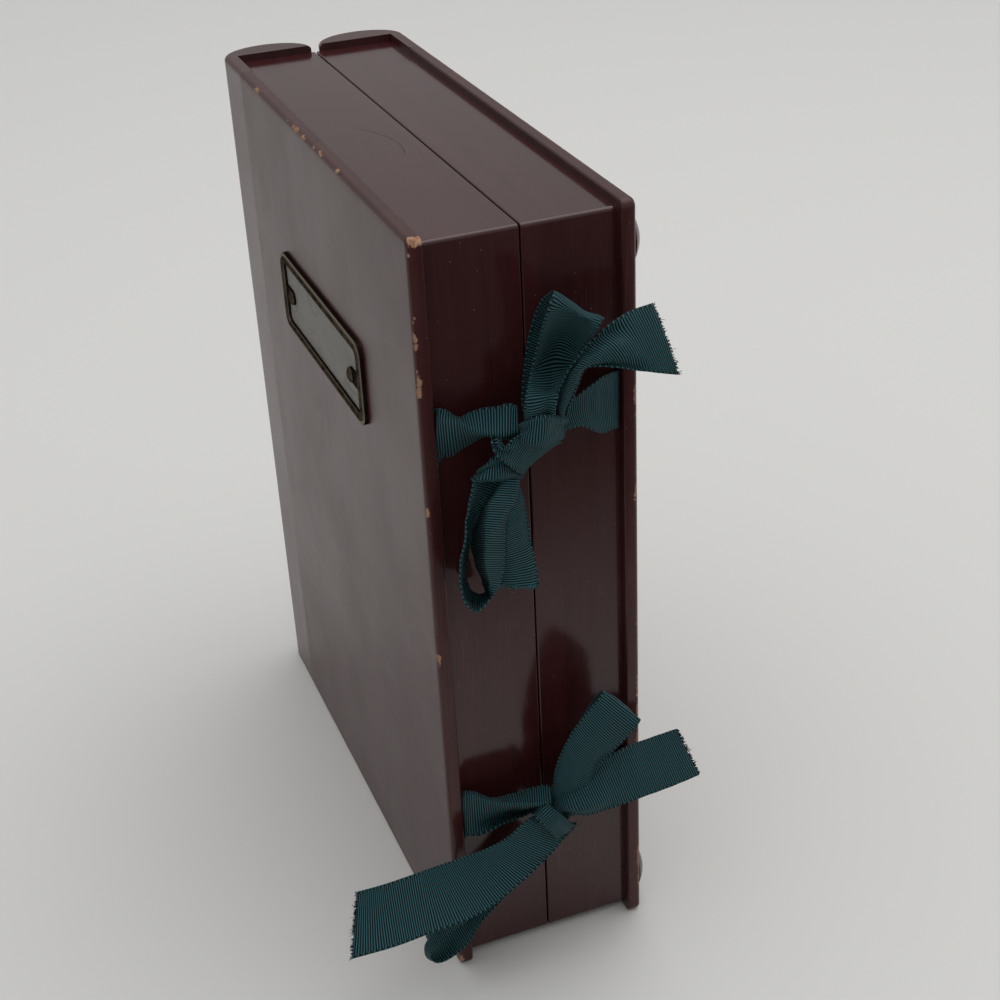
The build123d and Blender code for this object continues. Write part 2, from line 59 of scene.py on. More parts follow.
# Floor and light
# A pale floor under one large soft lamp, in a room with a bright ceiling and dimmer walls. To glossy rays
# alone its colour turns dark in front of the box: a painted reflection of a table's end, seen in the
# fore-edge's gloss.
class Nodes:
    """A material's or the room's nodes, written as sums: each call makes one node and gives its output."""

    def __init__(self, owner, shader="Principled BSDF", **sockets):
        owner.use_nodes = True
        self.material, self.tree = owner, owner.node_tree
        self.shader = self.tree.nodes[shader]
        for key, value in sockets.items():
            self.shader.inputs[key.replace("_", " ")].default_value = value

    def make(self, kind, out=0, options=None, **inputs):
        """inputs are named as on the node, or i0, i1 and so on by their place."""
        n = self.tree.nodes.new("ShaderNode" + kind)
        for key, value in (options or {}).items():
            setattr(n, key, value)
        for key, value in inputs.items():
            numbered = key[0] == "i" and key[1:].isdigit()
            self.join(value, n.inputs[int(key[1:]) if numbered else key.replace("_", " ")])
        return n.outputs[out]

    def join(self, value, socket):
        if isinstance(value, bpy.types.NodeSocket):
            self.tree.links.new(value, socket)
        else:
            socket.default_value = value

    def to(self, name, value):
        self.join(value, self.shader.inputs[name])

    def math(self, how, a, b=0.0, c=0.0, clamp=False):
        return self.make("Math", options={"operation": how, "use_clamp": clamp}, i0=a, i1=b, i2=c)

    def plus(self, a, b, clamp=False):
        return self.math("ADD", a, b, clamp=clamp)

    def minus(self, a, b):
        return self.math("SUBTRACT", a, b)

    def times(self, a, b):
        return self.math("MULTIPLY", a, b)

    def xyz(self, source=None):
        return self.make("SeparateXYZ", Vector=source or self.make("TexCoord", out="Object")).node.outputs

    def place(self, scale=(1, 1, 1), turn=(0, 0, 0), source=None, move=(0, 0, 0)):
        source = source or self.make("TexCoord", out="Object")
        return self.make("Mapping", Vector=source, Scale=scale, Rotation=turn, Location=move)

    def noise(self, where, scale, detail=3.0, rough=0.5):
        return self.make("TexNoise", Vector=where, Scale=scale, Detail=detail, Roughness=rough)

    def step(self, value, low, high, a=0.0, b=1.0):
        """a up to low, b from high on, and smooth between them."""
        return self.make("MapRange", options={"interpolation_type": "SMOOTHSTEP", "clamp": True},
                         i0=value, i1=low, i2=high, i3=a, i4=b)

    def mix(self, share, a, b):
        return self.make("Mix", out=2, options={"data_type": "RGBA"}, i0=share, i6=a, i7=b)

    def tint(self, colour, where, share, other):
        """The colour with the given share of the other one in it, where the mask is 1."""
        return self.mix(self.times(where, share), colour, other)

    def bump(self, height, depth, strength=1.0):
        return self.make("Bump", Height=height, Distance=depth, Strength=strength)


floor_half = 4.0
table_pale, painted_reflection_dark = (0.64, 0.635, 0.62, 1), (0.08, 0.07, 0.07, 1)
# painted reflection: y where the floor's colour, in glossy rays only, begins to turn dark, and where it is
# fully dark
painted_dark_starts, painted_dark_full = -0.22, -0.52  # y where the table begins to darken in the gloss, and where it is dark
floor_mesh = bpy.data.meshes.new("floor")
corners = [(x * floor_half, y * floor_half, 0) for x, y in ((-1, -1), (1, -1), (1, 1), (-1, 1))]
floor_mesh.from_pydata(corners, [], [(0, 1, 2, 3)])
floor = bpy.data.objects.new("floor", floor_mesh)
scene.collection.objects.link(floor)
table = Nodes(bpy.data.materials.new("pale_table"), Roughness=0.55, Specular_IOR_Level=0.2)
# painted reflection: past these y, glossy rays see the floor dark
under_painted_dark = table.step(table.xyz()[1], painted_dark_full, painted_dark_starts, 1, 0)
in_gloss = table.make("LightPath", out="Is Glossy Ray")
table.to("Base Color", table.mix(table.times(under_painted_dark, in_gloss), table_pale, painted_reflection_dark))
floor_mesh.materials.append(table.material)

lamp = bpy.data.lights.new("overhead", "AREA")
lamp.shape, lamp.size, lamp.energy, lamp.color = "SQUARE", 1.6, 7.8, (1.0, 0.985, 0.965)
overhead = bpy.data.objects.new("overhead", lamp)
overhead.location = (0.5, 0.15, 1.7)
aim = Vector((0, 0, 0.1))
overhead.rotation_euler = (aim - overhead.location).to_track_quat("-Z", "Y").to_euler()
scene.collection.objects.link(overhead)

walls, ceiling = (0.44, 0.44, 0.44, 1), (1.28, 1.285, 1.29, 1)
scene.world = bpy.data.worlds.new("room")
room = Nodes(scene.world, "Background", Strength=1.0)
toward = room.xyz(room.make("TexCoord", out="Generated"))
room.to("Color", room.mix(room.step(toward[2], 0.50, 0.95), walls, ceiling))
scene.view_settings.view_transform = "Standard"

# Covers, spine and trays
# Boards stained dark mahogany under a thin glossy lacquer: hardly any grain shows, the polish is finely
# scratched, and the covers' edges and front corners have rubbed through to bare wood.
stain_dark, stain_light = (0.033, 0.0070, 0.0076), (0.047, 0.0105, 0.0112)
stain_broad = (0.058, 0.0140, 0.0145)
pore_dark, haze_grey, fleck_pale = (0.012, 0.004, 0.004, 1), (0.12, 0.10, 0.095, 1), (0.30, 0.24, 0.22, 1)
scratch_pale = (0.17, 0.13, 0.12, 1)
knock_dark, scuff_dark = (0.010, 0.004, 0.004, 1), (0.014, 0.006, 0.006, 1)
rubbed_dark, rubbed_light = (0.050, 0.018, 0.016, 1), (0.13, 0.070, 0.055, 1)
bare_light, bare_dark = (0.42, 0.24, 0.14, 1), (0.20, 0.095, 0.055, 1)
flecks_in = 0.0016  # the row of pale flecks, from the edge of the base's front wall


def line_at(n, value, middle, full, gone):
    """1 where the value is within full of the middle, fading to 0 at gone."""
    return n.step(n.math("ABSOLUTE", n.minus(value, middle)), full, gone, 1, 0)


def scratches(n, turn, scale=(900, 14, 14), few=0.62, move=(0, 0, 0)):
    """Thin lines, where a noise stretched along the scratch crosses its middle value, kept in patches."""
    stretched = n.noise(n.place(scale, turn, move=move), 1.0, 2.0)
    patch = n.noise(n.place(move=(3 + turn[0], 1, turn[2])), 22.0, 2.0)
    return n.times(line_at(n, stretched, 0.5, 0.004, 0.014), n.step(patch, few, few + 0.08))


def dots(n, size, reach, share, move, band=None):
    """Spots in the given share of the cells of a Voronoi pattern, and in more of them where the band is 1."""
    cell = n.make("TexVoronoi", Vector=n.place(move=move), Scale=size)
    pick = n.make("SeparateColor", Color=cell.node.outputs["Color"])
    if band:
        share = n.plus(share, n.times(band, 0.45))
    return n.times(n.step(cell, reach * 0.4, reach, 1, 0), n.math("LESS_THAN", pick, share))


def knocks(n, share, seed, shift):
    """Ragged dents of two sizes."""
    spots = n.plus(dots(n, 75.0, 0.10, share, shift), dots(n, 160.0, 0.14, share, (seed, 4, 2)), clamp=True)
    return n.times(spots, n.step(n.noise(n.place(), 700.0, 2.0), 0.35, 0.6))


def curved_scuff(n, x, y):
    """The arc rubbed into the top of the lid's tray, and a short dash in front of it."""
    arc_x, arc_y, arc_radius = -0.0861, -0.0185, 0.0412
    dash_x, dash_y, dash_slope = -0.0466, -0.0445, 0.28
    dx, dy = n.minus(x, arc_x), n.minus(y, arc_y)
    far = n.math("SQRT", n.plus(n.times(dx, dx), n.times(dy, dy)))
    arc_ends = n.times(n.step(y, -0.034, -0.026), n.step(y, 0.004, 0.010, 1, 0))
    arc = n.times(line_at(n, far, arc_radius, 0.00015, 0.00055), arc_ends)
    from_dash = n.minus(x, dash_x)
    off_dash = n.plus(n.minus(y, dash_y), n.times(from_dash, dash_slope))
    dash = n.times(line_at(n, off_dash, 0.0, 0.0001, 0.0004), line_at(n, from_dash, 0.0, 0.004, 0.008))
    return n.times(n.plus(arc, dash, clamp=True), n.step(n.noise(n.place(), 500.0, 2.0), 0.25, 0.6))


def worn_edges(n, x, y, z, board, rubbed, shift):
    """How ragged the wear is, where the lacquer is rubbed and where the wood is bare, from how far a point is
    from the nearest edge and corner of the box board. rubbed is the bare width on its top front edge."""
    gaps = []
    for value, low, high in zip((x, y, z), *board):
        gaps.append(n.minus((high - low) / 2, n.math("ABSOLUTE", n.minus(value, (low + high) / 2))))
    edges = [n.plus(gaps[i], gaps[j]) for i, j in ((0, 1), (0, 2), (1, 2))]
    edge = n.math("MINIMUM", edges[0], n.math("MINIMUM", edges[1], edges[2]))
    corner = n.plus(n.plus(gaps[0], gaps[1]), gaps[2])
    chips = n.noise(n.place(move=shift), 420.0, 4.0, 0.7)
    reach = n.times(n.step(n.noise(n.place(move=shift), 55.0, 3.0), 0.44, 0.66), 0.0014)
    bare = n.step(n.minus(edge, n.times(reach, n.times(chips, 2.0))), 0.0, 0.0002, 1, 0)
    tips = n.step(n.minus(corner, n.times(chips, 0.0042)), 0.0, 0.0008, 1, 0)
    bare = n.math("MAXIMUM", n.times(bare, 0.75), tips)
    rub = n.step(n.minus(edge, n.times(chips, 0.0030)), 0.0, 0.0028, 0.15, 0)
    if rubbed:
        behind, below = n.minus(y, board[0][1]), n.minus(board[1][2], z)
        off_front = n.plus(behind, n.times(below, 0.9))
        bare = n.math("MAXIMUM", bare, n.step(n.minus(off_front, n.times(chips, rubbed)), 0.0, 0.0005, 1, 0))
    return chips, rub, bare


def stained_wood(name, along, seed=0.0, tone=1.0, board=None, rubbed=0.0, dents=0.0, column=None, arc=False,
                 dull=0.0):
    """along is the grain's axis, 0, 1 or 2; board is the box whose edges are worn, and rubbed the bare width
    on its top front edge; dents is the share of knocks; column is the x of a row of pale flecks; arc asks
    for the scuff on the lid tray's top; dull takes gloss away."""
    n = Nodes(bpy.data.materials.new(name), IOR=1.5, Specular_IOR_Level=0.5 - dull)
    shift = (seed, seed * 0.7, seed * 1.3)
    across, fine = [1.0, 1.0, 1.0], [1.0, 1.0, 1.0]
    across[along], fine[along] = 0.05, 0.018
    x, y, z = n.xyz()[:3]
    streak = n.noise(n.place(across, move=shift), 130.0, 5.0, 0.6)
    broad = n.noise(n.place(across, move=shift), 24.0, 3.0)
    pores = n.noise(n.place(fine, move=shift), 1300.0, 2.0)
    cloud = n.noise(n.place(move=shift), 16.0, 4.0, 0.65)
    dark, light, wide = (tuple(v * tone for v in c) + (1,) for c in (stain_dark, stain_light, stain_broad))
    colour = n.mix(n.step(streak, 0.25, 0.75), dark, light)
    colour = n.tint(colour, n.step(broad, 0.35, 0.75), 0.4, wide)
    colour = n.tint(colour, n.step(pores, 0.60, 0.72), 0.35, pore_dark)
    colour = n.tint(colour, n.step(cloud, 0.45, 0.75), 0.05, haze_grey)
    band = line_at(n, x, column, 0.0004, 0.0016) if column else None
    colour = n.tint(colour, dots(n, 560.0, 0.14, 0.07, shift, band), 0.45, fleck_pale)
    lines = scratches(n, (0, 0.25, 0.5), move=shift)
    lines = n.plus(lines, scratches(n, (0.4, -0.5, -0.7), move=shift), clamp=True)
    lines = n.plus(lines, scratches(n, (1.2, 0.2, 1.1), (1400, 22, 22), 0.6, move=shift), clamp=True)
    colour = n.tint(colour, lines, 0.10, scratch_pale)
    rough = n.step(cloud, 0.3, 0.8, 0.13 + dull, 0.21 + dull)
    height = n.minus(n.times(lines, -0.25), n.times(n.step(pores, 0.6, 0.75), 0.02))
    # brush marks and waves in the lacquer
    height = n.plus(height, n.times(n.noise(n.place(across, move=shift), 9.0, 2.0), 0.9))
    if dents:
        knock = knocks(n, dents, seed, shift)
        height = n.minus(height, n.times(knock, 1.5))
        colour = n.tint(colour, knock, 0.8, knock_dark)
        rough = n.plus(rough, n.times(knock, 0.35))
    if arc:
        scuff = curved_scuff(n, x, y)
        height = n.minus(height, scuff)
        colour = n.tint(colour, scuff, 0.6, scuff_dark)
        rough = n.plus(rough, n.times(scuff, 0.5))
    if board:
        chips, rub, bare = worn_edges(n, x, y, z, board, rubbed, shift)
        grain = n.noise(n.place(fine, move=shift), 700.0, 3.0)
        colour = n.mix(rub, colour, n.mix(chips, rubbed_dark, rubbed_light))
        colour = n.mix(bare, colour, n.mix(n.step(grain, 0.35, 0.7), bare_light, bare_dark))
        if rubbed:
            # the boards' front faces are hardly handled and keep their gloss
            rough = n.times(rough, n.step(n.minus(y, board[0][1]), 0.0002, 0.0012, 0.42, 1))
        rough = n.plus(rough, n.plus(n.times(bare, 0.45), n.times(rub, 0.35)))
    n.to("Base Color", colour)
    n.to("Roughness", rough)
    n.to("Normal", n.bump(height, 0.00006))
    return n.material


def whole_box(*names):
    """The lower and upper corner of the box round all the named pieces."""
    lows, highs = zip(*(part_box(name) for name in names))
    return [min(axis) for axis in zip(*lows)], [max(axis) for axis in zip(*highs)]


def finish(material, *names):
    """Gives the named pieces the material alone."""
    for name in names:
        data = nodes[name].data
        data.materials.clear()
        data.materials.append(material)


for body, seed, rubbed in (("base", 0.0, 0.0016), ("lid", 5.3, 0.0042)):
    shell = whole_box(body + "_cover", body + "_spine")
    cover = stained_wood(body + "_cover_wood", 2, seed, board=shell, rubbed=rubbed, dents=0.05, dull=0.17)
    spine = stained_wood(body + "_spine_wood", 2, seed + 1, board=shell, dents=0.04, dull=0.12)
    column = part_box("base_front_wall")[1][0] - flecks_in if body == "base" else None
    finish(cover, body + "_cover")
    finish(spine, body + "_spine")
    finish(stained_wood(body + "_front_wood", 2, seed + 2, 0.88, column=column), body + "_front_wall")
    finish(stained_wood(body + "_back_wood", 2, seed + 2.5), body + "_back_wall")
    finish(stained_wood(body + "_top_wood", 1, seed + 3, arc=body == "lid"), body + "_top_wall")
    finish(stained_wood(body + "_bottom_wood", 1, seed + 4), body + "_bottom_wall")

# Feet
# Four turned button feet of the same stained wood, a little darker than the covers. Each is a low dome on
# a short peg, glued into a blind hole in the base cover.
finish(stained_wood("feet_wood", 2, 9.0, 0.8), "feet")

# Inside of the trays
# Lining board covered in mottled paper lies against the inner side of each cover, and two thin stained slats
# part the lid's tray into bays.
paper_dark, paper_light, fibre_dark = (0.19, 0.135, 0.095, 1), (0.27, 0.20, 0.145, 1), (0.11, 0.075, 0.055, 1)
paper = Nodes(bpy.data.materials.new("lining_paper"), Roughness=0.85, Specular_IOR_Level=0.2)
fibre = paper.noise(paper.place((1, 1, 0.25)), 900.0, 3.0)
mottle = paper.noise(paper.place(), 45.0, 5.0, 0.6)
paper_colour = paper.mix(paper.step(mottle, 0.3, 0.7), paper_dark, paper_light)
paper.to("Base Color", paper.tint(paper_colour, paper.step(fibre, 0.6, 0.7), 0.5, fibre_dark))
paper.to("Normal", paper.bump(fibre, 0.00008))
finish(paper.material, "base_lining", "lid_lining")
finish(stained_wood("slat_wood_long", 2, 11.0, 1.8, whole_box("lid_long_divider")), "lid_long_divider")
finish(stained_wood("slat_wood_short", 1, 12.0, 1.8, whole_box("lid_short_divider")), "lid_short_divider")

# Hinges
# Brass butt hinges, let into the back walls with countersunk screws and dulled by age. Two knuckles of the
# base's leaf hold one of the lid's between them, on a plain pin.
brass_light, brass_dark = (0.56, 0.40, 0.16, 1), (0.20, 0.13, 0.06, 1)
brass = Nodes(bpy.data.materials.new("dull_brass"), Metallic=1.0)
tarnish = brass.noise(brass.place(), 90.0, 5.0, 0.65)
brushed = brass.noise(brass.place((1, 1, 0.03)), 2600.0, 2.0)
brass.to("Base Color", brass.mix(brass.step(tarnish, 0.35, 0.7), brass_light, brass_dark))
brass.to("Roughness", brass.step(tarnish, 0.3, 0.75, 0.28, 0.55))
brass.to("Normal", brass.bump(brushed, 0.00003))
finish(brass.material, "hinge_base_leaves", "hinge_lid_leaves", "hinge_pins", "hinge_base_screws",
       "hinge_lid_screws")

# Label holder
# A bronze frame dark with age, with a flat flange and a rounded bead inside it, over a plain grey card. The
# flange's top carries a painted highlight. A lug at each end runs under a round-headed pin.
bronze_light, bronze_dark = (0.085, 0.068, 0.050, 1), (0.026, 0.020, 0.015, 1)
flange_painted_highlight, side_painted_shade = (0.34, 0.31, 0.27, 1), (0.018, 0.012, 0.010, 1)
low, high = (Vector(corner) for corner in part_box("label_frame"))
bronze = Nodes(bpy.data.materials.new("aged_bronze"), Metallic=0.9, Specular_IOR_Level=0.3,
               Specular_Tint=(0.30, 0.26, 0.22, 1))
patina = bronze.noise(bronze.place(), 300.0, 5.0, 0.7)
bronze_colour = bronze.mix(bronze.step(patina, 0.35, 0.7), bronze_light, bronze_dark)
risen = bronze.minus(high[0], bronze.xyz()[0])
# painted highlight: a pale band on the flange's top, 1.54 to 1.66 mm over the cover
flange_highlight_mask = bronze.times(bronze.step(risen, 0.00150, 0.00154), bronze.step(risen, 0.00156, 0.00166, 0.8, 0))
bronze_colour = bronze.mix(flange_highlight_mask, bronze_colour, flange_painted_highlight)
# painted shade: the frame's side walls, under 1.30 to 1.48 mm over the cover, darkened
bronze_colour = bronze.mix(bronze.step(risen, 0.00130, 0.00148, 0.8, 0), bronze_colour, side_painted_shade)
bronze.to("Base Color", bronze_colour)
bronze.to("Roughness", bronze.step(patina, 0.3, 0.8, 0.38, 0.60))
bronze.to("Normal", bronze.bump(patina, 0.00008))
finish(bronze.material, "label_pins")

middle, reach = (low + high) / 2, (high - low) / 2
corner_radius, corner_points = 0.006, 10
# a lug's round end, its root in from the frame's outline, its place under the frame's middle and its two faces
lug_radius, lug_root, lug_drop = 0.003, 0.0034, 0.0006
lug_under, lug_over = 0.00045, 0.0012
front_pin, back_pin = 0.0148, 0.0117
# inset from the outline and height over the cover in mm, from the flange's outer side to the bead's back
profile = [(0, 0), (0, 1.45), (0.1, 1.55), (1.5, 1.55), (1.6, 1.65), (1.75, 2.1), (2.1, 2.35), (2.6, 2.4),
           (3.1, 2.3), (3.5, 2.0), (3.8, 1.3), (3.8, 0.45), (2.0, 0.45), (2.0, 0)]


def sides_between(bm, ring, after):
    """Four-sided faces from one closed row of points to the next."""
    for j in range(len(ring)):
        i = (j + 1) % len(ring)
        bm.faces.new([ring[j], ring[i], after[i], after[j]])


bm = bmesh.new()
rings = []
for inset, height in profile:
    r = corner_radius - inset / 1000
    rings.append([])
    for turn, (sy, sz) in enumerate(((1, 1), (-1, 1), (-1, -1), (1, -1))):
        for k in range(corner_points):
            angle = (turn + k / (corner_points - 1)) * math.pi / 2
            y = middle[1] + sy * (reach[1] - corner_radius) + r * math.cos(angle)
            z = middle[2] + sz * (reach[2] - corner_radius) + r * math.sin(angle)
            rings[-1].append(bm.verts.new((high[0] - height / 1000, y, z)))
for k, ring in enumerate(rings):
    sides_between(bm, ring, rings[(k + 1) % len(rings)])
for end, inward, pin in ((low[1], 1, front_pin), (high[1], -1, back_pin)):
    root, spot = end + inward * lug_root, end + inward * pin
    outline = [(root, lug_radius)]
    for k in range(13):
        angle = k * math.pi / 12
        outline.append((spot + inward * lug_radius * math.sin(angle), lug_radius * math.cos(angle)))
    outline.append((root, -lug_radius))
    caps = []
    for height in (lug_under, lug_over):
        caps.append([bm.verts.new((high[0] - height, y, middle[2] - lug_drop + z)) for y, z in outline])
        bm.faces.new(caps[-1])
    sides_between(bm, *caps)
bmesh.ops.recalc_face_normals(bm, faces=bm.faces)
for f in bm.faces:
    f.smooth = True
holder_mesh = bpy.data.meshes.new("label_holder")
bm.to_mesh(holder_mesh)
bm.free()
holder_mesh.set_sharp_from_angle(angle=math.radians(40))
holder_mesh.materials.append(bronze.material)
holder = bpy.data.objects.new("label_holder", holder_mesh)
scene.collection.objects.link(holder)
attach(holder, "lid")
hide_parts("label_frame")

card_dark, card_light = (0.17, 0.165, 0.150, 1), (0.25, 0.245, 0.228, 1)
stain_brown, mark_dark = (0.145, 0.135, 0.12, 1), (0.12, 0.11, 0.10, 1)
card = Nodes(bpy.data.materials.new("grey_card"), Roughness=0.75, Specular_IOR_Level=0.25)
grit = card.noise(card.place(), 1300.0, 3.0, 0.7)
stain = card.noise(card.place(), 60.0, 4.0, 0.6)
card_colour = card.mix(card.step(grit, 0.30, 0.70), card_dark, card_light)
card_colour = card.tint(card_colour, card.step(stain, 0.45, 0.75), 0.4, stain_brown)
marks = scratches(card, (0.3, 0.9, 0.2), (1500, 25, 25), 0.45)
card.to("Base Color", card.tint(card_colour, marks, 0.5, mark_dark))
card.to("Normal", card.bump(grit, 0.00008))
finish(card.material, "label_card")

# Ribbon cloth
# Dark teal grosgrain, 22 mm wide: fine ribs across it, a woven selvedge with small picots along each side,
# and ends cut with scissors that have begun to fray.
ribbon_width, ribbon_thick = 0.022, 0.00042
rib_pitch, thread_pitch = 0.00088, 0.00042
teal_painted_valley_shade, teal_painted_crest_light = (0.0003, 0.0020, 0.0028, 1), (0.0350, 0.1220, 0.1400, 1)
teal_faded = (0.012, 0.060, 0.068, 1)
weave = Nodes(bpy.data.materials.new("grosgrain"), Sheen_Weight=0.03, Sheen_Roughness=0.4, IOR=1.45,
              Specular_IOR_Level=0.18)
uv = weave.make("UVMap", options={"uv_map": "cloth"})
across_at, along_at = weave.xyz(uv)[:2]
wobble = weave.noise(weave.place(source=uv), 160.0, 3.0)
pull = weave.plus(along_at, weave.times(wobble, 0.00022))


def ripple(along, pitch):
    """A wave with one crest to each pitch."""
    return weave.math("SINE", weave.times(along, 2 * math.pi / pitch))


rib = weave.math("MULTIPLY_ADD", ripple(pull, rib_pitch), 0.5, 0.5)
picot = weave.minus(weave.math("MULTIPLY_ADD", ripple(pull, 2 * rib_pitch), 0.5, 0.5), rib)
from_side = weave.math("MINIMUM", across_at, weave.minus(ribbon_width, across_at))
relief = weave.math("MULTIPLY_ADD", picot, weave.step(from_side, 0.0007, 0.0010, 0.6, 0), rib)
relief = weave.plus(relief, weave.times(ripple(across_at, thread_pitch), 0.12))
shade = weave.noise(weave.place(source=uv), 60.0, 4.0, 0.6)
# painted light and shade: the crests of the ribs and picots are painted light, the valleys between them
# painted dark
teal = weave.mix(weave.step(relief, 0.33, 1.0), teal_painted_valley_shade, teal_painted_crest_light)
weave.to("Base Color", weave.tint(teal, weave.step(shade, 0.35, 0.75), 0.15, teal_faded))
weave.to("Roughness", weave.step(shade, 0.3, 0.8, 0.55, 0.70))
weave.to("Normal", weave.bump(relief, 0.00024, 0.9))


def mm(x, y, z):
    """A point of the box's own drawing, mid-plane and cover fronts, in the frame's metres."""
    origin_x, origin_y = 36.6, 117.5
    return Vector(((x - origin_x) / 1000, (y - origin_y) / 1000, z / 1000))


def glide(values, i, t):
    """The value at share t of the way from values[i] to values[i + 1]: points lie on a smooth curve through
    them all, and numbers ease from one to the next."""
    a, b, c, d = values[max(i - 1, 0)], values[i], values[i + 1], values[min(i + 2, len(values) - 1)]
    if not isinstance(b, Vector):
        return b + (c - b) * (3 * t * t - 2 * t ** 3)
    span = (c - b).length
    go, come = (c - a).normalized() * span, (d - b).normalized() * span
    return (b * (1 - 3 * t * t + 2 * t ** 3) + c * (3 * t * t - 2 * t ** 3)
            + go * (t - 2 * t * t + t ** 3) + come * (t ** 3 - t * t))


def crossing(points, u):
    """The point at share u of a straight crossing, or of one folded at each inner point in a narrow bend."""
    spans = [(q - p).length for p, q in zip(points, points[1:])]
    at = [sum(spans[:i]) / max(sum(spans), 1e-6) for i in range(len(points))]
    at[-1] = 1.0
    for i in range(1, len(points) - 1):
        before, after = max(at[i] - at[i - 1], 1e-4), max(at[i + 1] - at[i], 1e-4)
        r = min(before * 0.48, after * 0.48, 0.08)
        if abs(u - at[i]) < r:
            k, fold = (u - at[i] + r) / (2 * r), points[i]
            start, end = fold.lerp(points[i - 1], r / before), fold.lerp(points[i + 1], r / after)
            return start.lerp(fold, k).lerp(fold.lerp(end, k), k)
    i = next(i for i in range(len(points) - 1) if u <= at[i + 1] or i == len(points) - 2)
    return points[i].lerp(points[i + 1], (u - at[i]) / max(at[i + 1] - at[i], 1e-4))


def pleat_height(width, laid, pleats, most):
    """How high pleats stand where a ribbon of this width is laid into less: a wave's length against its
    height, near enough for gathers. A crossing nearly as wide as the ribbon is smooth."""
    spare = max(width * 0.98 / laid, 1.0)
    swing = laid / (2 * math.pi * max(pleats, 0.5)) * math.sqrt(max(spare ** 2 - 1, 0)) * 1.35
    slack = min(max((1 - laid / width - 0.06) / 0.15, 0.0), 1.0)
    return min(swing, most / 1000) * (slack * slack * (3 - 2 * slack))


def fray(bm, layer, rng, last, prior, width, run):
    """Loose threads of uneven length on a scissor-cut end, mostly short, some bent over."""
    thread_half, thread_sunk = 0.00007, 0.0004
    across = len(last) - 1
    for _ in range(150):
        u = rng.random()
        w = min(int(u * across), across - 1)
        share = u * across - w
        root = last[w].lerp(last[w + 1], share)
        ahead = (root - prior[w].lerp(prior[w + 1], share)).normalized()
        beside = (last[w + 1] - last[w]).normalized()
        up = ahead.cross(beside)
        length = rng.uniform(0.0003, 0.0011) if rng.random() < 0.95 else rng.uniform(0.0013, 0.0024)
        bend = beside * rng.uniform(-0.6, 0.6) * length + up * rng.uniform(-0.5, 0.5) * length
        tip, half_way = root + ahead * length + bend, root + ahead * length * 0.55 + bend * 0.3
        thin, sunk = beside * thread_half, root - ahead * thread_sunk
        ring = [bm.verts.new(q) for q in (sunk - thin, sunk + thin, half_way + thin, half_way - thin)]
        for face in (ring, [ring[3], ring[2], bm.verts.new(tip)]):
            for loop in bm.faces.new(face).loops:
                loop[layer].uv = (u * width, run)


